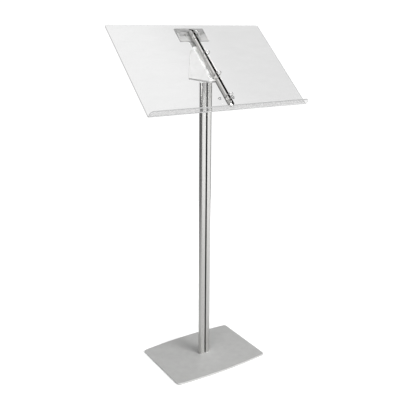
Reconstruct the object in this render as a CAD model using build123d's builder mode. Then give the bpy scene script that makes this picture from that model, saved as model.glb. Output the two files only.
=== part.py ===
from build123d import *
import math
import os

# Lectern stand with a clear reading panel and a four-ring page mechanism.
# Frame: origin on the floor under the post's axis, +X to the reader's right,
# +Y away from the reader, +Z up. All sizes in millimetres.

os.makedirs("parts", exist_ok=True)

# ---- Base ----
base_width = 329.0            # between the corners, along X
base_depth = 228.0            # between the corners, along Y
base_bow = 9.0                # how far the front and back edges bow outward
base_thickness = 5.0
base_corner = 9.0
base_edge = 0.8               # rounding of the plate's rims
liner_thickness = 1.0         # rubber sheet glued under the plate
liner_inset = 9.0

# ---- Post: an oval aluminium extrusion ----
post_width = 40.0
post_depth = 16.0
post_side_radius = 7.0
post_wall = 1.8
post_top = 888.0              # height of the post's upper end
post_cap_thickness = 4.0
slot_mouth = 5.0
slot_lip = 1.8
slot_lip_radius = 0.6
slot_pocket_width = 9.0
slot_pocket_depth = 4.6
channel_x = 12.0              # screw channels, left and right of the post's axis
channel_bore = 4.4
channel_wall = 8.4
channel_rib = 2.0
post_core = 2.0               # solid web between the pocket and each chamber

# ---- Screws into the post ----
post_screw_shank = 5.0
post_screw_head = 9.4
post_screw_depth = 16.0       # how far each screw reaches into the post
pan_head_height = 3.2
countersink_depth = 2.6
clearance = 0.2               # radial play of a screw in a drilled hole

# ---- Reading panel: clear acrylic, bent along its lower edge ----
panel_tilt = 41.6             # degrees above horizontal
panel_width = 522.0
panel_length = 332.0
panel_thickness = 4.0
panel_corner = 6.0
panel_foot_y = -143.3         # the reading face's line over the bend
panel_foot_z = 826.7
lip_length = 24.0
lip_opening = 93.0            # degrees between the reading face and the lip
lip_corner = 10.0
bend_inner_radius = 2.5
polished_edge = 0.4           # chamfer along every rim of the sheet

# ---- Panel screws ----
panel_screw_x = 22.5
upper_screw_s = 290.0         # distances up the slope from the bend
lower_screw_s = 46.0
small_screw = 4.0
small_head = 7.0
small_head_height = 2.2
slim_screw = 3.0              # the lower pair is slimmer
slim_head = 4.2
slim_head_height = 1.4
slim_nut_width = 5.5
slim_nut_height = 2.4
socket_width = 2.5
socket_depth = 1.2
dome_share = 0.7              # how much of a domed head's height is rounded
screw_end = 1.0               # thread that stands out of a nut
nut_width = 7.0
nut_height = 3.2
washer_diameter = 10.0
washer_thickness = 0.8

# ---- Head, between the post and the panel ----
head_width = 40.0
head_back_y = 70.0
head_front_y = -54.0
foot_plate_thickness = 4.0
foot_plate_corner = 6.0
cover_wall = 2.5
cover_back_radius = 10.0
cover_shoulder_z = 969.0      # where the cover's back wall turns towards the panel
cover_shoulder_lean = 4.5     # how far that point stands forward of the back edge
cover_shoulder_radius = 24.0
cover_top_s = 246.0           # upper end of the cover's sloping wall
cover_edge = 0.8              # rounding of the cover's outer edges
bracket_width = 32.0
bracket_sheet = 3.0
bracket_bend = 4.5            # centre-line radius
bracket_top_s = 312.0
bracket_back_y = 48.0
upright_y = 30.0
upright_flange = 12.0
top_plate_width = 98.0
top_plate_low_s = 267.0
top_plate_high_s = 319.0
top_plate_thickness = 3.0
top_plate_corner = 1.5

# ---- Ring mechanism ----
ring_pitch = 80.0             # standard four-ring spacing
ring_count = 4
rail_centre_s = 161.0
rail_length = 296.0
rail_half_width = 10.0
rail_skirt = 4.2
rail_height = 7.2
rail_sheet = 0.9
rail_seat = 6.7               # flat pressed into the crown under each screw head
rail_ledge = 1.6              # inward lip that carries each blade's outer edge
rail_screw_offset = 133.5     # from the rail's middle to each fixing screw
rail_screw_head = 6.4
rail_screw_head_height = 1.8
rail_post_diameter = 7.0
wire_diameter = 2.8
ring_radius = 9.4             # centre line of the round part
ring_centre_h = 14.5          # height above the reading face
ring_sweep = 130.0            # degrees of arc from the tip down one side
ring_leg_bend = 3.0
ring_tip_gap = 0.1
blade_pivot_x = 8.2           # each blade turns about the middle of its rounded outer edge
blade_pivot_h = 1.6
blade_thickness = 1.0
blade_gap = 0.5               # between the two blades
blade_length = 254.0
blade_corner = 1.0
slot_inner_x = 4.8
slot_outer_x = 9.1
slot_width = 3.6
slot_floor = 2.6

# ---- Worked-out values ----
plate_top = liner_thickness + base_thickness
tilt = math.radians(panel_tilt)
up_slope = Vector(0, math.cos(tilt), math.sin(tilt))
off_face = Vector(0, -math.sin(tilt), math.cos(tilt))
panel_foot = Vector(0, panel_foot_y, panel_foot_z)
crown_radius = (
    (post_width / 2 - post_side_radius) ** 2 + (post_depth / 2) ** 2 - post_side_radius**2
) / (post_depth - 2 * post_side_radius)
ring_offsets = [(i - (ring_count - 1) / 2) * ring_pitch for i in range(ring_count)]
post_cap_top = post_top + post_cap_thickness
foot_plate_top = post_cap_top + foot_plate_thickness


def on_slope(x, s, h):
    """The point x across, s up the slope from the bend and h above the reading face."""
    return panel_foot + Vector(x, 0, 0) + up_slope * s + off_face * h


def reading_plane(h=0.0):
    """Plane parallel to the reading face; local x across, local y up the slope."""
    return Plane(origin=on_slope(0, 0, h), x_dir=(1, 0, 0), z_dir=off_face)


def slope_side_plane(x):
    """Plane at x, seen from the side: local x up the slope, local y off the face."""
    return Plane(origin=on_slope(x, 0, 0), x_dir=up_slope, z_dir=(1, 0, 0))


def slope_section_plane(s):
    """Cross-section of the ring mechanism at s: local x across, local y off the face."""
    return Plane(origin=on_slope(0, s, 0), x_dir=(1, 0, 0), z_dir=up_slope * -1)


def side_plane(x):
    """Vertical plane at x: local x is the row's Y, local y is Z."""
    return Plane(origin=(x, 0, 0), x_dir=(0, 1, 0), z_dir=(1, 0, 0))


def underside_z(y):
    """Height of the panel's underside above the floor at a given y."""
    drop = panel_thickness / math.cos(tilt)
    return panel_foot_z + (y - panel_foot_y) * math.tan(tilt) - drop


# ---- Base ----


def bowed_outline(inset):
    """Rectangle with straight ends and front and back edges that bow outward."""
    half_width = base_width / 2 - inset
    half_depth = base_depth / 2 - inset
    left_front = (-half_width, -half_depth)
    right_front = (half_width, -half_depth)
    right_back = (half_width, half_depth)
    left_back = (-half_width, half_depth)
    ThreePointArc(left_front, (0, -half_depth - base_bow), right_front)
    Line(right_front, right_back)
    ThreePointArc(right_back, (0, half_depth + base_bow), left_back)
    Line(left_back, left_front)


def make_base_plate():
    with BuildPart() as base_plate:
        with BuildSketch(Plane.XY.offset(liner_thickness)):
            with BuildLine():
                bowed_outline(0)
            make_face()
            fillet(vertices(), base_corner)
        extrude(amount=base_thickness)
        fillet(faces().sort_by(Axis.Z)[-1].edges(), base_edge)
        fillet(faces().sort_by(Axis.Z)[0].edges(), base_edge / 2)
        with Locations(Plane.XY.offset(liner_thickness).rotated((180, 0, 0))):
            with Locations((-channel_x, 0), (channel_x, 0)):
                CounterSinkHole(
                    post_screw_shank / 2 + clearance,
                    post_screw_head / 2 + 2 * clearance,
                    base_thickness,
                )
    base_plate.part.label = "base_plate"
    export_step(base_plate.part, "parts/base_plate.step")


def make_base_liner():
    with BuildPart() as base_liner:
        with BuildSketch():
            with BuildLine():
                bowed_outline(liner_inset)
            make_face()
            fillet(vertices(), base_corner - liner_inset / 2)
            with Locations((-channel_x, 0), (channel_x, 0)):
                Circle(post_screw_head / 2 + 2 * clearance, mode=Mode.SUBTRACT)
        extrude(amount=liner_thickness)
    base_liner.part.label = "base_liner"
    export_step(base_liner.part, "parts/base_liner.step")


# ---- Post ----


def oval_section(shrink=0.0):
    """Oval with crowned faces and round sides, smaller by shrink all round."""
    centre_y = crown_radius - post_depth / 2
    with Locations((0, centre_y)):
        Circle(crown_radius - shrink)
    with Locations((0, -centre_y)):
        Circle(crown_radius - shrink, mode=Mode.INTERSECT)
    fillet(vertices(), post_side_radius - shrink)


def post_chambers():
    """The two hollow chambers, less the screw channels and their ribs."""
    with BuildSketch() as chambers:
        oval_section(post_wall)
        core_half = slot_pocket_width / 2 + post_core
        Rectangle(2 * core_half, post_depth, mode=Mode.SUBTRACT)
        with Locations((-channel_x, 0), (channel_x, 0)):
            Rectangle(channel_rib, post_depth, mode=Mode.SUBTRACT)
            Circle(channel_wall / 2, mode=Mode.SUBTRACT)
    return chambers.sketch


def post_slots():
    """The undercut slots in the front and back faces."""
    with BuildSketch() as slots:
        for side in (-1, 1):
            mouth_y = side * (post_depth - slot_lip) / 2
            pocket_y = side * (post_depth / 2 - slot_lip - slot_pocket_depth / 2)
            with Locations((0, mouth_y)):
                Rectangle(slot_mouth, 2 * slot_lip)
            with Locations((0, pocket_y)):
                Rectangle(slot_pocket_width, slot_pocket_depth)
    return slots.sketch


def make_post():
    with BuildPart() as post:
        with BuildSketch(Plane.XY.offset(plate_top)):
            oval_section()
            add(post_chambers(), mode=Mode.SUBTRACT)
            add(post_slots(), mode=Mode.SUBTRACT)
            with Locations((-channel_x, 0), (channel_x, 0)):
                Circle(channel_bore / 2, mode=Mode.SUBTRACT)
            mouth = vertices().filter_by(lambda v: abs(v.X) < slot_mouth / 2 + clearance)
            front = mouth.group_by(Axis.Y)[0]
            back = mouth.group_by(Axis.Y)[-1]
            fillet(front + back, slot_lip_radius)
        extrude(amount=post_top - plate_top)
    post.part.label = "post"
    export_step(post.part, "parts/post.step")


def make_post_screws():
    """Countersunk screws from below, cutting into the post's channels."""
    shank = channel_bore / 2
    neck_z = liner_thickness + countersink_depth
    with BuildPart() as post_screws:
        for x in (-channel_x, channel_x):
            with BuildSketch(Plane.XY.offset(liner_thickness)):
                with Locations((x, 0)):
                    Circle(post_screw_head / 2)
            with BuildSketch(Plane.XY.offset(neck_z)):
                with Locations((x, 0)):
                    Circle(shank)
            loft()
            with BuildSketch(Plane.XY.offset(neck_z)):
                with Locations((x, 0)):
                    Circle(shank)
            extrude(amount=plate_top + post_screw_depth - neck_z)
            with BuildSketch(Plane.XY.offset(liner_thickness)):
                with Locations((x, 0)):
                    RegularPolygon(socket_width / 2, 6)
            extrude(amount=socket_depth, mode=Mode.SUBTRACT)
    post_screws.part.label = "post_screws"
    export_step(post_screws.part, "parts/post_screws.step")


def make_head_screws():
    """Pan-head screws from above, through the head's flange into the post."""
    seat = foot_plate_top + bracket_sheet
    with BuildPart() as head_screws:
        for x in (-channel_x, channel_x):
            with BuildSketch(Plane.XY.offset(post_top - post_screw_depth)):
                with Locations((x, 0)):
                    Circle(channel_bore / 2)
            extrude(amount=seat + pan_head_height / 2 - (post_top - post_screw_depth))
            with BuildSketch(Plane.XY.offset(seat)):
                with Locations((x, 0)):
                    Circle(post_screw_head / 2)
            extrude(amount=pan_head_height)
            with BuildSketch(Plane.XY.offset(seat + pan_head_height - socket_depth)):
                with Locations((x, 0)):
                    RegularPolygon(socket_width / 2, 6)
            extrude(amount=socket_depth, mode=Mode.SUBTRACT)
    head_screws.part.label = "head_screws"
    export_step(head_screws.part, "parts/head_screws.step")


# ---- Head ----


def head_plan(inset=0.0):
    """Plan outline of the head: square front corners, well-rounded back ones."""
    length = head_back_y - head_front_y - 2 * inset
    with Locations((0, (head_back_y + head_front_y) / 2)):
        Rectangle(head_width - 2 * inset, length)
    corners = vertices().group_by(Axis.Y)
    fillet(corners[-1], cover_back_radius - inset)


def make_post_cap():
    """Moulded cap of the post's own outline, between the post and the head."""
    with BuildPart() as post_cap:
        with BuildSketch(Plane.XY.offset(post_top)):
            oval_section()
            with Locations((-channel_x, 0), (channel_x, 0)):
                Circle(post_screw_shank / 2 + clearance, mode=Mode.SUBTRACT)
        extrude(amount=post_cap_thickness)
        fillet(edges().group_by(Axis.Z)[-1].filter_by(lambda e: e.length > post_depth), base_edge)
    post_cap.part.label = "post_cap"
    export_step(post_cap.part, "parts/post_cap.step")


def make_foot_plate():
    with BuildPart() as foot_plate:
        with BuildSketch(Plane.XY.offset(post_cap_top)):
            head_plan()
            fillet(vertices().group_by(Axis.Y)[0], foot_plate_corner)
            with Locations((-channel_x, 0), (channel_x, 0)):
                Circle(post_screw_shank / 2 + clearance, mode=Mode.SUBTRACT)
        extrude(amount=foot_plate_thickness)
        fillet(edges().group_by(Axis.Z)[-1].filter_by(GeomType.CIRCLE, reverse=True), base_edge / 2)
    foot_plate.part.label = "foot_plate"
    export_step(foot_plate.part, "parts/foot_plate.step")


def cover_profile(inset):
    """Side profile of the cover, smaller by inset at the back and under the panel."""
    front = head_front_y + inset
    back = head_back_y - inset
    ceiling_drop = inset / math.cos(tilt)
    top = on_slope(0, cover_top_s, -panel_thickness)
    shoulder = (back - cover_shoulder_lean, cover_shoulder_z)
    shoulder_top = (top.Y, top.Z - ceiling_drop)
    Polyline(
        (front, foot_plate_top),
        (back, foot_plate_top),
        shoulder,
        shoulder_top,
        (front, underside_z(front) - ceiling_drop),
        close=True,
    )


def is_back_corner(edge):
    """True for the edges that run up the cover's back corners and over its shoulder."""
    box = edge.bounding_box()
    return box.min.Y > head_back_y / 2 and box.size.X < clearance and box.size.Z > clearance


def is_rim_crease(edge):
    """True for the cover's edges under the panel and up its front corners."""
    middle = edge.center()
    under_panel = middle.Z > underside_z(middle.Y) - clearance
    at_front = middle.Y < head_front_y + clearance
    return under_panel or (at_front and middle.Z > foot_plate_top + clearance)


def cover_form(inset):
    """Solid form of the cover, as wide as the head less an inset on each side."""
    half = head_width / 2 - inset
    with BuildPart() as form:
        with BuildSketch(side_plane(-half)):
            with BuildLine():
                cover_profile(inset)
            make_face()
            rearmost = vertices().sort_by(Axis.X)[-3:]    # in the sketch, x runs to the back
            shoulder = rearmost.sort_by(Axis.Y)[1]
            fillet(shoulder, cover_shoulder_radius - inset)
        extrude(amount=2 * half)
        fillet(edges().filter_by(is_back_corner), cover_back_radius - inset)
    return form.part


def make_head_cover():
    """Thin moulded cover, open below, with a slot for the bracket's sloping leg."""
    outside = cover_form(0)
    inside = cover_form(cover_wall)
    leg_h = -panel_thickness - top_plate_thickness + clearance
    with BuildPart() as head_cover:
        add(outside)
        fillet(edges().filter_by(is_rim_crease), cover_edge)
        add(inside, mode=Mode.SUBTRACT)
        with BuildSketch(reading_plane(leg_h)):
            with Locations((0, cover_top_s)):
                Rectangle(bracket_width + 4 * clearance, 2 * cover_back_radius)
        extrude(amount=-bracket_sheet - 2 * clearance, mode=Mode.SUBTRACT)
    head_cover.part.label = "head_cover"
    export_step(head_cover.part, "parts/head_cover.step")


def make_head_bracket():
    """Bent steel strip: a flange on the post, folded back up under the panel."""
    half_sheet = bracket_sheet / 2
    flange_z = foot_plate_top + half_sheet
    leg_h = -panel_thickness - top_plate_thickness - half_sheet
    leg_end = on_slope(0, bracket_top_s, leg_h)
    fold_y = leg_end.Y - (leg_end.Z - flange_z) / math.tan(tilt)
    with BuildPart() as head_bracket:
        with BuildSketch(side_plane(-bracket_width / 2)):
            with BuildLine():
                FilletPolyline(
                    (bracket_back_y, flange_z),
                    (fold_y, flange_z),
                    (leg_end.Y, leg_end.Z),
                    radius=bracket_bend,
                )
            trace(line_width=bracket_sheet)
        extrude(amount=bracket_width)
        with Locations(Plane.XY.offset(foot_plate_top)):
            with Locations((-channel_x, 0), (channel_x, 0)):
                Hole(post_screw_shank / 2 + clearance, bracket_sheet)
        with BuildSketch(reading_plane(-panel_thickness)):
            with Locations((0, rail_centre_s + rail_screw_offset)):
                Circle(small_screw / 2 + clearance)
        extrude(amount=-4 * bracket_sheet, mode=Mode.SUBTRACT)
    head_bracket.part.label = "head_bracket"
    export_step(head_bracket.part, "parts/head_bracket.step")


def make_head_upright():
    """Z-shaped strut between the bracket's flange and its sloping leg."""
    half_sheet = bracket_sheet / 2
    foot_z = foot_plate_top + bracket_sheet + half_sheet
    under_leg = -panel_thickness - top_plate_thickness - bracket_sheet - half_sheet
    start = on_slope(0, 0, under_leg)
    knee_z = start.Z + (upright_y - start.Y) * math.tan(tilt)
    flange_end = Vector(0, upright_y, knee_z) + up_slope * upright_flange
    with BuildPart() as head_upright:
        with BuildSketch(side_plane(-bracket_width / 2)):
            with BuildLine():
                FilletPolyline(
                    (upright_y - upright_flange, foot_z),
                    (upright_y, foot_z),
                    (upright_y, knee_z),
                    (flange_end.Y, flange_end.Z),
                    radius=bracket_bend,
                )
            trace(line_width=bracket_sheet)
        extrude(amount=bracket_width)
    head_upright.part.label = "head_upright"
    export_step(head_upright.part, "parts/head_upright.step")


def make_top_plate():
    middle_s = (top_plate_low_s + top_plate_high_s) / 2
    with BuildPart() as top_plate:
        with BuildSketch(reading_plane(-panel_thickness)):
            with Locations((0, middle_s)):
                Rectangle(top_plate_width, top_plate_high_s - top_plate_low_s)
            fillet(vertices(), top_plate_corner)
            with Locations((0, rail_centre_s + rail_screw_offset)):
                Circle(small_screw / 2 + clearance, mode=Mode.SUBTRACT)
            with Locations((-panel_screw_x, upper_screw_s), (panel_screw_x, upper_screw_s)):
                Circle(small_screw / 2 + clearance, mode=Mode.SUBTRACT)
        extrude(amount=-top_plate_thickness)
    top_plate.part.label = "top_plate"
    export_step(top_plate.part, "parts/top_plate.step")


# ---- Reading panel ----


def panel_section():
    """Side view of the sheet: the reading part, the bend and the lip."""
    lean = math.radians(lip_opening - 90)
    along = Vector(-math.sin(lean), math.cos(lean))
    across = Vector(math.cos(lean), math.sin(lean))
    corner_outer = Vector(0, -panel_thickness)
    tip_outer = corner_outer + along * lip_length
    tip_inner = tip_outer + across * panel_thickness
    inner_s = panel_thickness * (1 - math.sin(lean)) / math.cos(lean)
    Polyline(
        tip_outer,
        corner_outer,
        (panel_length, -panel_thickness),
        (panel_length, 0),
        (inner_s, 0),
        tip_inner,
        close=True,
    )
    return corner_outer, Vector(inner_s, 0)


def near(point, reach):
    """Selects what lies within reach of a point."""
    return lambda shape: (shape.center() - point).length < reach


def make_panel():
    with BuildPart() as panel:
        with BuildSketch(slope_side_plane(-panel_width / 2)):
            with BuildLine():
                outer, inner = panel_section()
            make_face()
            fillet(vertices().filter_by(near(outer, clearance)), bend_inner_radius + panel_thickness)
            fillet(vertices().filter_by(near(inner, clearance)), bend_inner_radius)
        extrude(amount=panel_width)
        short = edges().filter_by(lambda e: abs(e.length - panel_thickness) < clearance)
        corners = short.filter_by(lambda e: abs(e.center().X) > panel_screw_x).sort_by(Axis.Y)
        fillet(corners[-2:], panel_corner)
        fillet(corners[:2], lip_corner)
        side_lines = faces().filter_by(Axis.X).edges().filter_by(GeomType.LINE)
        long_lines = side_lines.filter_by(lambda e: e.length > panel_length / 2)
        chamfer(long_lines, polished_edge)
        hole_places = [
            (-panel_screw_x, upper_screw_s),
            (panel_screw_x, upper_screw_s),
            (0, rail_centre_s - rail_screw_offset),
            (0, rail_centre_s + rail_screw_offset),
        ]
        with BuildSketch(reading_plane()):
            with Locations(*hole_places):
                Circle(small_screw / 2 + clearance)
            with Locations((-panel_screw_x, lower_screw_s), (panel_screw_x, lower_screw_s)):
                Circle(slim_screw / 2 + clearance)
        extrude(amount=-panel_thickness, mode=Mode.SUBTRACT)
    panel.part.label = "panel"
    export_step(panel.part, "parts/panel.step")


# ---- Panel fasteners ----


def domed_screw(x, s, seat_h, shank_diameter, head_diameter, head_height, length):
    """A domed socket screw whose head sits seat_h above the reading face."""
    with BuildPart() as screw:
        with BuildSketch(reading_plane(seat_h)):
            with Locations((x, s)):
                Circle(shank_diameter / 2)
        extrude(amount=-length)
        with BuildSketch(reading_plane(seat_h)):
            with Locations((x, s)):
                Circle(head_diameter / 2)
        extrude(amount=head_height)
        head_top = faces().sort_by(Axis((0, 0, 0), off_face))[-1]
        fillet(head_top.edges(), head_height * dome_share)
        with BuildSketch(reading_plane(seat_h + head_height)):
            with Locations((x, s)):
                RegularPolygon(socket_width / 2, 6)
        extrude(amount=-socket_depth, mode=Mode.SUBTRACT)
    return screw.part


def hex_nut(x, s, top_h, bore_diameter, width, height):
    """A plain hexagon nut whose upper face is at top_h."""
    with BuildPart() as nut:
        with BuildSketch(reading_plane(top_h)):
            with Locations((x, s)):
                RegularPolygon(width / 2, 6, major_radius=False)
                Circle(bore_diameter / 2, mode=Mode.SUBTRACT)
        extrude(amount=-height)
    return nut.part


def make_upper_panel_screws():
    length = panel_thickness + top_plate_thickness + nut_height + screw_end
    sizes = (0, small_screw, small_head, small_head_height, length)
    pair = [domed_screw(x, upper_screw_s, *sizes) for x in (-panel_screw_x, panel_screw_x)]
    with BuildPart() as upper_panel_screws:
        add(pair)
    upper_panel_screws.part.label = "upper_panel_screws"
    export_step(upper_panel_screws.part, "parts/upper_panel_screws.step")


def make_upper_panel_nuts():
    sizes = (-panel_thickness - top_plate_thickness, small_screw, nut_width, nut_height)
    pair = [hex_nut(x, upper_screw_s, *sizes) for x in (-panel_screw_x, panel_screw_x)]
    with BuildPart() as upper_panel_nuts:
        add(pair)
    upper_panel_nuts.part.label = "upper_panel_nuts"
    export_step(upper_panel_nuts.part, "parts/upper_panel_nuts.step")


def make_lower_panel_screws():
    length = panel_thickness + washer_thickness + slim_nut_height + screw_end
    sizes = (0, slim_screw, slim_head, slim_head_height, length)
    pair = [domed_screw(x, lower_screw_s, *sizes) for x in (-panel_screw_x, panel_screw_x)]
    with BuildPart() as lower_panel_screws:
        add(pair)
    lower_panel_screws.part.label = "lower_panel_screws"
    export_step(lower_panel_screws.part, "parts/lower_panel_screws.step")


def make_lower_panel_washers():
    with BuildPart() as lower_panel_washers:
        with BuildSketch(reading_plane(-panel_thickness)):
            with Locations((-panel_screw_x, lower_screw_s), (panel_screw_x, lower_screw_s)):
                Circle(washer_diameter / 2)
                Circle(slim_screw / 2 + clearance, mode=Mode.SUBTRACT)
        extrude(amount=-washer_thickness)
    lower_panel_washers.part.label = "lower_panel_washers"
    export_step(lower_panel_washers.part, "parts/lower_panel_washers.step")


def make_lower_panel_nuts():
    sizes = (-panel_thickness - washer_thickness, slim_screw, slim_nut_width, slim_nut_height)
    pair = [hex_nut(x, lower_screw_s, *sizes) for x in (-panel_screw_x, panel_screw_x)]
    with BuildPart() as lower_panel_nuts:
        add(pair)
    lower_panel_nuts.part.label = "lower_panel_nuts"
    export_step(lower_panel_nuts.part, "parts/lower_panel_nuts.step")


# ---- Ring mechanism ----


def arch(half_width, skirt, crown):
    """Half of the rail's arched outline, from its middle to one side."""
    radius = (half_width**2 + (crown - skirt) ** 2) / (2 * (crown - skirt))
    angle = math.asin(half_width / radius) / 2
    quarter = (radius * math.sin(angle), crown - radius + radius * math.cos(angle))
    ThreePointArc((0, crown), quarter, (half_width, skirt))
    Polyline((half_width, skirt), (half_width, 0), (0, 0), (0, crown))


def domed_bar(half_width, skirt, crown, length):
    """Solid bar of arched section lying on the reading face, with round ends."""
    straight = length - 2 * half_width
    high_s = rail_centre_s + straight / 2
    with BuildPart() as bar:
        with BuildSketch(slope_section_plane(high_s)):
            with BuildLine():
                arch(half_width, skirt, crown)
            make_face()
            mirror(about=Plane.YZ)
        extrude(amount=straight)
        for end_s in (high_s, high_s - straight):
            with BuildSketch(slope_section_plane(end_s)):
                with BuildLine():
                    arch(half_width, skirt, crown)
                make_face()
            revolve(axis=Axis(on_slope(0, end_s, 0), off_face))
    return bar.part


def rail_hollow():
    """The space inside the rail, above the ledges that carry the blades."""
    inside = domed_bar(
        rail_half_width - rail_sheet,
        rail_skirt,
        rail_height - rail_sheet,
        rail_length - 2 * rail_sheet,
    )
    with BuildPart() as hollow:
        add(inside)
        with BuildSketch(reading_plane()):
            with Locations((0, rail_centre_s)):
                Rectangle(4 * rail_half_width, 2 * rail_length)
        extrude(amount=rail_sheet, mode=Mode.SUBTRACT)
    return hollow.part


def make_ring_rail():
    outside = domed_bar(rail_half_width, rail_skirt, rail_height, rail_length)
    hollow = rail_hollow()
    edge = rail_sheet + rail_ledge
    slot_x = (slot_inner_x + slot_outer_x) / 2
    slot_places = [(side * slot_x, rail_centre_s + r) for side in (-1, 1) for r in ring_offsets]
    screw_places = [(0, rail_centre_s + side * rail_screw_offset) for side in (-1, 1)]
    with BuildPart() as ring_rail:
        add(outside)
        add(hollow, mode=Mode.SUBTRACT)
        with BuildSketch(reading_plane()):
            with Locations((0, rail_centre_s)):
                SlotOverall(rail_length - 2 * edge, 2 * (rail_half_width - edge), rotation=90)
        extrude(amount=rail_sheet, mode=Mode.SUBTRACT)
        with BuildSketch(reading_plane(slot_floor)):
            with Locations(*slot_places):
                Rectangle(slot_outer_x - slot_inner_x, slot_width)
        extrude(amount=rail_height, mode=Mode.SUBTRACT)
        with BuildSketch(reading_plane(rail_seat)):
            with Locations(*screw_places):
                Circle(rail_screw_head / 2 + clearance)
        extrude(amount=rail_height, mode=Mode.SUBTRACT)
        with BuildSketch(reading_plane()):
            with Locations(*screw_places):
                Circle(small_screw / 2 + clearance)
        extrude(amount=2 * rail_height, mode=Mode.SUBTRACT)
    ring_rail.part.label = "ring_rail"
    export_step(ring_rail.part, "parts/ring_rail.step")


def make_rail_posts():
    """Tubular posts that hold the rail's crown clear of the blades."""
    places = [(0, rail_centre_s + side * rail_screw_offset) for side in (-1, 1)]
    hollow = rail_hollow()
    with BuildPart() as rail_posts:
        with BuildSketch(reading_plane(rail_sheet)):
            with Locations(*places):
                Circle(rail_post_diameter / 2)
                Circle(small_screw / 2 + clearance, mode=Mode.SUBTRACT)
        extrude(amount=rail_height)
        add(hollow, mode=Mode.INTERSECT)
        with BuildSketch(reading_plane()):
            with Locations(*places):
                Circle(rail_post_diameter / 2)
                Circle(small_screw / 2 + clearance, mode=Mode.SUBTRACT)
        extrude(amount=rail_sheet)
    rail_posts.part.label = "rail_posts"
    export_step(rail_posts.part, "parts/rail_posts.step")


def make_rail_screws():
    """Screws through the rail and the panel; the upper one also holds the head."""
    lower_length = rail_seat + panel_thickness + nut_height + screw_end
    upper_length = lower_length + top_plate_thickness + bracket_sheet
    low_s = rail_centre_s - rail_screw_offset
    high_s = rail_centre_s + rail_screw_offset
    head = (rail_seat, small_screw, rail_screw_head, rail_screw_head_height)
    pair = [domed_screw(0, low_s, *head, lower_length), domed_screw(0, high_s, *head, upper_length)]
    with BuildPart() as rail_screws:
        add(pair)
    rail_screws.part.label = "rail_screws"
    export_step(rail_screws.part, "parts/rail_screws.step")


def make_rail_nuts():
    upper_seat = -panel_thickness - top_plate_thickness - bracket_sheet
    sizes = (small_screw, nut_width, nut_height)
    pair = [
        hex_nut(0, rail_centre_s - rail_screw_offset, -panel_thickness, *sizes),
        hex_nut(0, rail_centre_s + rail_screw_offset, upper_seat, *sizes),
    ]
    with BuildPart() as rail_nuts:
        add(pair)
    rail_nuts.part.label = "rail_nuts"
    export_step(rail_nuts.part, "parts/rail_nuts.step")


def make_blade(side, name):
    """Spring-steel blade with a half-round outer edge; side is -1 left, 1 right."""
    inner_x = blade_gap / 2
    width = blade_pivot_x - inner_x
    high_s = rail_centre_s + blade_length / 2
    with BuildPart() as blade:
        with BuildSketch(slope_section_plane(high_s)):
            with Locations((side * (inner_x + width / 2), blade_pivot_h)):
                Rectangle(width, blade_thickness)
            with Locations((side * blade_pivot_x, blade_pivot_h)):
                Circle(blade_thickness / 2)
        extrude(amount=blade_length)
        fillet(edges().filter_by(Axis((0, 0, 0), off_face)), blade_corner)
    blade.part.label = name
    export_step(blade.part, f"parts/{name}.step")


def make_half_ring(side, number):
    """Half of a round ring: an arc from the tip, then a leg down to the blade."""
    section = slope_section_plane(rail_centre_s + ring_offsets[number - 1])
    blade_top = blade_pivot_h + blade_thickness / 2
    tip = math.degrees(ring_tip_gap / ring_radius)
    with BuildPart() as half_ring:
        with BuildLine(section) as wire:
            arc = CenterArc(
                (0, ring_centre_h), ring_radius, 90 - side * tip, -side * (ring_sweep - tip)
            )
            bend = JernArc(arc @ 1, arc % 1, ring_leg_bend, side * (ring_sweep - 90))
            foot = section.to_local_coords(bend @ 1)
            Line(bend @ 1, section.from_local_coords(Vector(foot.X, blade_top)))
        with BuildSketch(Plane(origin=wire.line @ 0, z_dir=wire.line % 0)):
            Circle(wire_diameter / 2)
        sweep()
    name = f"ring_{'left' if side < 0 else 'right'}_{number}"
    half_ring.part.label = name
    export_step(half_ring.part, f"parts/{name}.step")


make_base_plate()
make_base_liner()
make_post()
make_post_screws()
make_head_screws()
make_post_cap()
make_foot_plate()
make_head_cover()
make_head_bracket()
make_head_upright()
make_top_plate()
make_panel()
make_upper_panel_screws()
make_upper_panel_nuts()
make_lower_panel_screws()
make_lower_panel_washers()
make_lower_panel_nuts()
make_ring_rail()
make_rail_posts()
make_rail_screws()
make_rail_nuts()
make_blade(-1, "blade_left")
make_blade(1, "blade_right")
for ring_number in range(1, ring_count + 1):
    make_half_ring(-1, ring_number)
    make_half_ring(1, ring_number)
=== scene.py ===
import math

import bpy
from mathutils import Matrix, Vector

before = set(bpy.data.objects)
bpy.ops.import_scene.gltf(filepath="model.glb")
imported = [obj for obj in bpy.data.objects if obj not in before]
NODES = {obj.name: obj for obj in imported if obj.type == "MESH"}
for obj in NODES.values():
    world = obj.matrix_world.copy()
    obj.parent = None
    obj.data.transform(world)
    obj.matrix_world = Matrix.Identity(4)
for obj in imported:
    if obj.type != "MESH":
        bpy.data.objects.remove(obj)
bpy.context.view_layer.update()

# ---- Camera ----
LENS_MM = 51.8
SENSOR_MM = 36.0
EYE = Vector((-0.9388, -1.4580, 1.0547))
YAW = math.radians(32.8)      # turned right from looking straight along +Y
PITCH = math.radians(17.2)    # tipped down
ROLL = math.radians(0.39)

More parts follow.
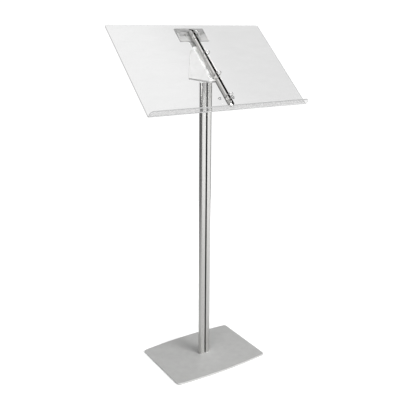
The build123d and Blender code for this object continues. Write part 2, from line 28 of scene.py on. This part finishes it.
# ---- Studio ----
FLOOR_HALF = 1.5
FLOOR_GREY = 0.80
AMBIENT = 1.66                # what reaches matt surfaces, from all sides but the back
BACK_DARKER = 0.92            # share of it that is missing behind the stand
THROUGH_GLASS = 1.08          # the plain backdrop, seen directly or through the panel
KEY_POWER = 2.4
KEY_TRAVEL = (-0.37, 0.93, -0.7)
KEY_SPREAD = 30               # degrees, as is FILL_SPREAD
FILL_POWER = 2.4
FILL_TRAVEL = (0.75, 0.62, -0.15)
FILL_SPREAD = 40
MIRRORED_FLOOR_LEFT = 0.17    # greys that shiny surfaces mirror the floor in
MIRRORED_FLOOR_RIGHT = 0.75
ROOM = 0.14                   # the unlit part of the room, as mirrored
PAINTED_EDGE_GLOW = 0.13              # painted light: glow on the inside of the clear sheet, standing in for light that its edges gather from the white surroundings
LAMP_THROUGH_SHEET = 0.85     # share of a lamp's light that passes the clear sheet

# Soft areas of the surroundings: the way to the middle, degrees from there to where they
# start to fade, degrees to where they are gone, and their level
LOW_FRONT_LIGHT = ((0.50, -0.82, -0.15), 12, 42, 1.20)
RIGHT_CEILING_LIGHT = ((0.40, -0.02, 0.91), 3, 17, 0.65)
CEILING_LIGHT = ((-0.22, 0.04, 0.97), 28, 50, 0.40)
LOW_BACK_LIGHT = ((-0.48, 0.72, -0.50), 10, 23, 0.40)
DARK_CORNER = ((0.78, 0.42, 0.42), 33, 40, 1.0)
SHADE_BEHIND = ((-0.50, 0.80, 0.33), 38, 88, AMBIENT * BACK_DARKER)

# ---- The stand, in metres ----
TILT = math.radians(41.6)     # of the reading slope
SLOT_MOUTH = 0.0064           # the post's slots lie nearer than this to its middle, along Y
SLOT_HALF_WIDTH = 0.0048
SLOT_PAINTED_SHADE = 0.4              # painted shade: what the slots keep of the post's base colour, standing in for the shade deep in them

# ---- Patterns and sockets ----
NOISE_LOW, NOISE_HIGH = 0.3, 0.7    # noise mostly stays between these
# A Mix node has sockets of the same name for each data type, so they go by number
MIX_FACTOR, MIX_VALUE_A, MIX_VALUE_B, MIX_COLOUR_A, MIX_COLOUR_B = 0, 2, 3, 6, 7
MIX_COLOUR_RESULT = 2


def make_camera():
    """Camera at the reader's front left, a little above the panel."""
    forward = Vector((
        math.sin(YAW) * math.cos(PITCH),
        math.cos(YAW) * math.cos(PITCH),
        -math.sin(PITCH),
    ))
    level = Vector((math.cos(YAW), -math.sin(YAW), 0))
    upright = level.cross(forward)
    right = level * math.cos(ROLL) + upright * math.sin(ROLL)
    up = upright * math.cos(ROLL) - level * math.sin(ROLL)
    data = bpy.data.cameras.new("camera")
    data.lens = LENS_MM
    data.sensor_width = SENSOR_MM
    camera = bpy.data.objects.new("camera", data)
    turn = Matrix((right, up, -forward)).transposed().to_4x4()
    camera.matrix_world = Matrix.Translation(EYE) @ turn
    bpy.context.scene.collection.objects.link(camera)
    bpy.context.scene.camera = camera


# ---- Building the studio ----


def grey(value):
    """A neutral colour with full alpha."""
    return (value, value, value, 1)


def math_node(tree, operation, *operands):
    """Adds a Math node; an operand is a number or another node's output."""
    node = tree.nodes.new("ShaderNodeMath")
    node.operation = operation
    for socket, operand in zip(node.inputs, operands):
        if isinstance(operand, (int, float)):
            socket.default_value = operand
        else:
            tree.links.new(operand, socket)
    return node.outputs[0]


def mix_shaders(tree, factor, first, second):
    """Blends two shaders: all of the first where factor is 0, all of the second where it is 1."""
    mix = tree.nodes.new("ShaderNodeMixShader")
    for socket, source in zip(mix.inputs, (factor, first, second)):
        tree.links.new(source, socket)
    return mix.outputs["Shader"]


def soft_patch(tree, direction, aim, inner, outer, level):
    """A round patch of sky about aim: full out to inner degrees, gone at outer degrees."""
    dot = tree.nodes.new("ShaderNodeVectorMath")
    dot.operation = "DOT_PRODUCT"
    tree.links.new(direction, dot.inputs[0])
    dot.inputs[1].default_value = Vector(aim).normalized()
    ramp = tree.nodes.new("ShaderNodeMapRange")
    ramp.interpolation_type = "SMOOTHSTEP"
    tree.links.new(dot.outputs["Value"], ramp.inputs["Value"])
    ramp.inputs["From Min"].default_value = math.cos(math.radians(outer))
    ramp.inputs["From Max"].default_value = math.cos(math.radians(inner))
    ramp.inputs["To Min"].default_value = 0.0
    ramp.inputs["To Max"].default_value = level
    return ramp.outputs["Result"]


def make_world():
    """White surroundings; what shiny surfaces mirror is a dim room with soft lit areas."""
    world = bpy.data.worlds.new("studio")
    world.use_nodes = True
    world.cycles.sampling_method = "NONE"
    bpy.context.scene.world = world
    tree = world.node_tree
    nodes, links = tree.nodes, tree.links
    nodes.clear()
    output = nodes.new("ShaderNodeOutputWorld")
    path = nodes.new("ShaderNodeLightPath")
    direction = nodes.new("ShaderNodeTexCoord").outputs["Generated"]

    room = ROOM
    for light in (LOW_FRONT_LIGHT, RIGHT_CEILING_LIGHT, CEILING_LIGHT, LOW_BACK_LIGHT):
        room = math_node(tree, "ADD", soft_patch(tree, direction, *light), room)
    dark = soft_patch(tree, direction, *DARK_CORNER)
    room = math_node(tree, "MULTIPLY", room, math_node(tree, "SUBTRACT", 1.0, dark))

    scattered = math_node(tree, "MINIMUM", path.outputs["Diffuse Depth"], 1.0)
    behind = soft_patch(tree, direction, *SHADE_BEHIND)
    soft = math_node(tree, "SUBTRACT", AMBIENT - THROUGH_GLASS, behind)
    plain = math_node(tree, "ADD", math_node(tree, "MULTIPLY", scattered, soft), THROUGH_GLASS)
    mirrored = math_node(tree, "MINIMUM", path.outputs["Glossy Depth"], 1.0)
    mirrored = math_node(tree, "MULTIPLY", mirrored, math_node(tree, "SUBTRACT", 1.0, scattered))
    blend = nodes.new("ShaderNodeMix")
    blend.data_type = "FLOAT"
    links.new(mirrored, blend.inputs[MIX_FACTOR])
    links.new(plain, blend.inputs[MIX_VALUE_A])
    links.new(room, blend.inputs[MIX_VALUE_B])
    backdrop = nodes.new("ShaderNodeBackground")
    backdrop.inputs["Color"].default_value = grey(1)
    links.new(blend.outputs[0], backdrop.inputs["Strength"])
    links.new(backdrop.outputs["Background"], output.inputs["Surface"])


def make_sun(name, power, travel, spread, mirrored):
    """A soft lamp shining along travel, spread degrees wide; metal shows it if mirrored."""
    data = bpy.data.lights.new(name, "SUN")
    data.energy = power
    data.angle = math.radians(spread)
    sun = bpy.data.objects.new(name, data)
    sun.visible_glossy = mirrored
    sun.rotation_euler = Vector(travel).to_track_quat("-Z", "Y").to_euler()
    bpy.context.scene.collection.objects.link(sun)


def make_floor():
    """White floor; shiny surfaces mirror it as grey, lighter towards the right."""
    mesh = bpy.data.meshes.new("floor")
    half = FLOOR_HALF
    corners = [(-half, -half, 0), (half, -half, 0), (half, half, 0), (-half, half, 0)]
    mesh.from_pydata(corners, [], [(0, 1, 2, 3)])
    floor = bpy.data.objects.new("floor", mesh)
    bpy.context.scene.collection.objects.link(floor)
    material = bpy.data.materials.new("floor_white")
    material.use_nodes = True
    tree = material.node_tree
    tree.nodes.clear()
    path = tree.nodes.new("ShaderNodeLightPath")
    pale = tree.nodes.new("ShaderNodeBsdfDiffuse")
    pale.inputs["Color"].default_value = grey(FLOOR_GREY)
    across = tree.nodes.new("ShaderNodeSeparateXYZ")
    tree.links.new(tree.nodes.new("ShaderNodeTexCoord").outputs["Object"], across.inputs[0])
    ramp = tree.nodes.new("ShaderNodeMapRange")
    tree.links.new(across.outputs["X"], ramp.inputs["Value"])
    ramp.inputs["From Min"].default_value = -half
    ramp.inputs["From Max"].default_value = half
    ramp.inputs["To Min"].default_value = MIRRORED_FLOOR_LEFT
    ramp.inputs["To Max"].default_value = MIRRORED_FLOOR_RIGHT
    dim = tree.nodes.new("ShaderNodeBsdfDiffuse")
    tree.links.new(ramp.outputs["Result"], dim.inputs["Color"])
    mirrored = math_node(tree, "MINIMUM", path.outputs["Glossy Depth"], 1.0)
    surface = mix_shaders(tree, mirrored, pale.outputs["BSDF"], dim.outputs["BSDF"])
    output = tree.nodes.new("ShaderNodeOutputMaterial")
    tree.links.new(surface, output.inputs["Surface"])
    mesh.materials.append(material)


# ---- Building blocks for materials ----


def new_material(name, **values):
    """A material and its shader, with the values that are the same all over."""
    material = bpy.data.materials.new(name)
    material.use_nodes = True
    shader = material.node_tree.nodes["Principled BSDF"]
    for key, value in values.items():
        shader.inputs[key.replace("_", " ")].default_value = value
    return material, material.node_tree, shader


def blotches(tree, size, detail=2.0, turn=0.0):
    """Noise with blotches of the given size in metres along x, y and z, turned about x."""
    mapping = tree.nodes.new("ShaderNodeMapping")
    mapping.vector_type = "TEXTURE"
    mapping.inputs["Rotation"].default_value = (turn, 0, 0)
    mapping.inputs["Scale"].default_value = size
    tree.links.new(tree.nodes.new("ShaderNodeTexCoord").outputs["Object"], mapping.inputs["Vector"])
    noise = tree.nodes.new("ShaderNodeTexNoise")
    noise.inputs["Scale"].default_value = 1.0
    noise.inputs["Detail"].default_value = detail
    tree.links.new(mapping.outputs["Vector"], noise.inputs["Vector"])
    return noise.outputs[0]


def colour_by(tree, shader, pattern, low, high):
    """Base colour that runs from low to high with the pattern."""
    ramp = tree.nodes.new("ShaderNodeValToRGB")
    ramp.color_ramp.elements[0].position = NOISE_LOW
    ramp.color_ramp.elements[1].position = NOISE_HIGH
    ramp.color_ramp.elements[0].color = (*low, 1)
    ramp.color_ramp.elements[1].color = (*high, 1)
    tree.links.new(pattern, ramp.inputs[0])
    tree.links.new(ramp.outputs["Color"], shader.inputs["Base Color"])


def roughness_by(tree, shader, pattern, low, high):
    """Roughness that runs from low to high with the pattern."""
    ramp = tree.nodes.new("ShaderNodeMapRange")
    ramp.inputs["From Min"].default_value = NOISE_LOW
    ramp.inputs["From Max"].default_value = NOISE_HIGH
    ramp.inputs["To Min"].default_value = low
    ramp.inputs["To Max"].default_value = high
    tree.links.new(pattern, ramp.inputs["Value"])
    tree.links.new(ramp.outputs["Result"], shader.inputs["Roughness"])


def relief_by(tree, shader, pattern, height):
    """Fine relief of the given height in metres."""
    bump = tree.nodes.new("ShaderNodeBump")
    bump.inputs["Distance"].default_value = height
    tree.links.new(pattern, bump.inputs["Height"])
    tree.links.new(bump.outputs["Normal"], shader.inputs["Normal"])


def dress(material, *names):
    """Puts the material on the named CAD nodes."""
    for name in names:
        mesh = NODES[name].data
        mesh.materials.clear()
        mesh.materials.append(material)


def lets_lamps_through(material):
    """Lamps shine through the clear sheet, a little dimmed, instead of being blocked."""
    tree = material.node_tree
    shader = tree.nodes["Principled BSDF"]
    output = tree.nodes["Material Output"]
    path = tree.nodes.new("ShaderNodeLightPath")
    clear = tree.nodes.new("ShaderNodeBsdfTransparent")
    clear.inputs["Color"].default_value = grey(LAMP_THROUGH_SHEET)
    surface = mix_shaders(tree, path.outputs["Is Shadow Ray"], shader.outputs["BSDF"],
                          clear.outputs["BSDF"])
    tree.links.new(surface, output.inputs["Surface"])


def paint_edge_glow(tree, shader):
    """Painted light: the clear sheet glows for rays mirrored inside it, so edges aren't dark, in place
    of light from the white surroundings.
    """
    path = tree.nodes.new("ShaderNodeLightPath")
    inside = tree.nodes.new("ShaderNodeNewGeometry").outputs["Backfacing"]
    straight_in = path.outputs["Is Transmission Ray"]
    mirrored = math_node(tree, "SUBTRACT", path.outputs["Is Glossy Ray"], straight_in)
    mirrored = math_node(tree, "MULTIPLY", math_node(tree, "MAXIMUM", mirrored, 0.0), inside)
    shader.inputs["Emission Color"].default_value = grey(1)
    tree.links.new(math_node(tree, "MULTIPLY", mirrored, PAINTED_EDGE_GLOW), shader.inputs["Emission Strength"])


# ---- Materials ----


def painted_steel(name, low, high):
    """Powder coat: a cloudy grey with orange peel under a millimetre across."""
    material, tree, shader = new_material(name, IOR=1.45)
    cloud = blotches(tree, (0.02, 0.02, 0.02), detail=4.0)
    peel = blotches(tree, (0.0009, 0.0009, 0.0009))
    colour_by(tree, shader, cloud, low, high)
    roughness_by(tree, shader, peel, 0.44, 0.56)
    relief_by(tree, shader, peel, 0.00004)
    return material


def slot_painted_shade_mask(tree):
    """1 inside the post's undercut slots, where shade is painted, 0 on its outer faces."""
    place = tree.nodes.new("ShaderNodeSeparateXYZ")
    tree.links.new(tree.nodes.new("ShaderNodeTexCoord").outputs["Object"], place.inputs[0])
    off_middle = math_node(tree, "ABSOLUTE", place.outputs["Y"])
    off_centre = math_node(tree, "ABSOLUTE", place.outputs["X"])
    deep = math_node(tree, "LESS_THAN", off_middle, SLOT_MOUTH)
    narrow = math_node(tree, "LESS_THAN", off_centre, SLOT_HALF_WIDTH)
    return math_node(tree, "MULTIPLY", deep, narrow)


def paint_shade_in_slots(tree, shader):
    """Paints shade into the slots: takes the base colour down inside them."""
    mix = tree.nodes.new("ShaderNodeMix")
    mix.data_type = "RGBA"
    mix.blend_type = "MULTIPLY"
    # painted shade: the slots' base colour is multiplied by this grey
    mix.inputs[MIX_COLOUR_B].default_value = grey(SLOT_PAINTED_SHADE)
    tree.links.new(slot_painted_shade_mask(tree), mix.inputs[MIX_FACTOR])
    undarkened = shader.inputs["Base Color"].links[0].from_socket
    tree.links.new(undarkened, mix.inputs[MIX_COLOUR_A])
    tree.links.new(mix.outputs[MIX_COLOUR_RESULT], shader.inputs["Base Color"])


def drawn_aluminium():
    """Satin anodised extrusion with die lines up the post; shade is painted into its slots as a darker
    base colour.
    """
    material, tree, shader = new_material("satin_aluminium", Metallic=1.0)
    lines = blotches(tree, (0.0005, 0.0005, 0.3), detail=3.0)
    haze = blotches(tree, (0.004, 0.004, 0.3), detail=3.0)
    colour_by(tree, shader, lines, (0.597, 0.594, 0.580), (0.658, 0.655, 0.640))
    paint_shade_in_slots(tree, shader)
    roughness_by(tree, shader, haze, 0.24, 0.32)
    relief_by(tree, shader, lines, 0.000001)
    return material


def rolled_nickel():
    """Bright plate over rolled steel: faint streaks along the rail."""
    material, tree, shader = new_material("bright_nickel", Metallic=1.0)
    streaks = blotches(tree, (0.0007, 0.04, 0.0007), detail=3.0, turn=TILT)
    smears = blotches(tree, (0.006, 0.02, 0.006), detail=4.0, turn=TILT)
    colour_by(tree, shader, streaks, (0.62, 0.61, 0.59), (0.77, 0.765, 0.755))
    roughness_by(tree, shader, smears, 0.08, 0.16)
    relief_by(tree, shader, streaks, 0.000005)
    return material


def bright_wire():
    """Plated ring wire: small cloudy spots in a bright finish."""
    material, tree, shader = new_material("bright_wire", Metallic=1.0)
    spots = blotches(tree, (0.002, 0.002, 0.002), detail=3.0)
    colour_by(tree, shader, spots, (0.64, 0.635, 0.625), (0.76, 0.757, 0.75))
    roughness_by(tree, shader, spots, 0.09, 0.17)
    return material


def zinc_steel():
    """Zinc plate: mottled, with slight blue and yellow patches."""
    material, tree, shader = new_material("zinc_steel", Metallic=1.0)
    mottle = blotches(tree, (0.003, 0.003, 0.003), detail=5.0)
    grain = blotches(tree, (0.0006, 0.0006, 0.0006))
    colour_by(tree, shader, mottle, (0.52, 0.53, 0.56), (0.66, 0.65, 0.61))
    roughness_by(tree, shader, mottle, 0.24, 0.38)
    relief_by(tree, shader, grain, 0.00001)
    return material


def white_moulding():
    """Satin white plastic with the mould's fine spark texture."""
    material, tree, shader = new_material("white_moulding", IOR=1.46)
    flow = blotches(tree, (0.03, 0.03, 0.015), detail=3.0)
    spark = blotches(tree, (0.0004, 0.0004, 0.0004))
    colour_by(tree, shader, flow, (0.845, 0.845, 0.838), (0.88, 0.88, 0.876))
    roughness_by(tree, shader, spark, 0.36, 0.46)
    relief_by(tree, shader, spark, 0.00002)
    return material


def clear_sheet(name, low, high):
    """Clear plastic, polished, with wiping marks too faint to scatter what is behind."""
    material, tree, shader = new_material(name, IOR=1.49, Transmission_Weight=1.0)
    wiped = blotches(tree, (0.05, 0.02, 0.02), detail=4.0, turn=TILT)
    colour_by(tree, shader, wiped, low, high)
    roughness_by(tree, shader, wiped, 0.0, 0.012)
    # painted light: a glow inside the sheet that keeps its edges from going dark
    paint_edge_glow(tree, shader)
    lets_lamps_through(material)
    return material


def sheet_rubber():
    """Black rubber with a matt, slightly dusty skin."""
    material, tree, shader = new_material("sheet_rubber")
    dust = blotches(tree, (0.008, 0.008, 0.008), detail=5.0)
    grain = blotches(tree, (0.0008, 0.0008, 0.0008))
    colour_by(tree, shader, dust, (0.022, 0.022, 0.023), (0.042, 0.041, 0.040))
    roughness_by(tree, shader, grain, 0.75, 0.9)
    relief_by(tree, shader, grain, 0.00004)
    return material


def dress_everything():
    """Gives every CAD node its material."""
    rings = [f"ring_{side}_{number}" for side in ("left", "right") for number in range(1, 5)]
    dress(painted_steel("grey_powder_coat", (0.287, 0.287, 0.283), (0.313, 0.313, 0.309)),
          "base_plate", "head_bracket", "head_upright")
    # painted shade: the foot plate wears a slightly darker copy of the top plate's light grey paint,
    # for the shade under the cover
    dress(painted_steel("mid_grey_paint", (0.36, 0.36, 0.356), (0.39, 0.39, 0.386)), "foot_plate")
    dress(painted_steel("light_grey_paint", (0.36, 0.36, 0.356), (0.40, 0.40, 0.396)), "top_plate")
    dress(drawn_aluminium(), "post")
    dress(rolled_nickel(), "ring_rail", "rail_screws")
    dress(bright_wire(), *rings)
    dress(zinc_steel(), "post_screws", "head_screws", "upper_panel_screws", "upper_panel_nuts",
          "lower_panel_screws", "lower_panel_nuts", "rail_posts", "rail_nuts", "blade_left",
          "blade_right")
    dress(white_moulding(), "head_cover", "post_cap")
    dress(clear_sheet("clear_acrylic", (0.79, 0.79, 0.79), (0.81, 0.81, 0.81)), "panel")
    dress(clear_sheet("clear_plastic", (0.86, 0.86, 0.86), (0.89, 0.89, 0.89)), "lower_panel_washers")
    dress(sheet_rubber(), "base_liner")


make_camera()
make_world()
make_floor()
make_sun("key", KEY_POWER, KEY_TRAVEL, KEY_SPREAD, mirrored=True)
make_sun("fill", FILL_POWER, FILL_TRAVEL, FILL_SPREAD, mirrored=False)
dress_everything()

bpy.context.scene.view_settings.view_transform = "Standard"
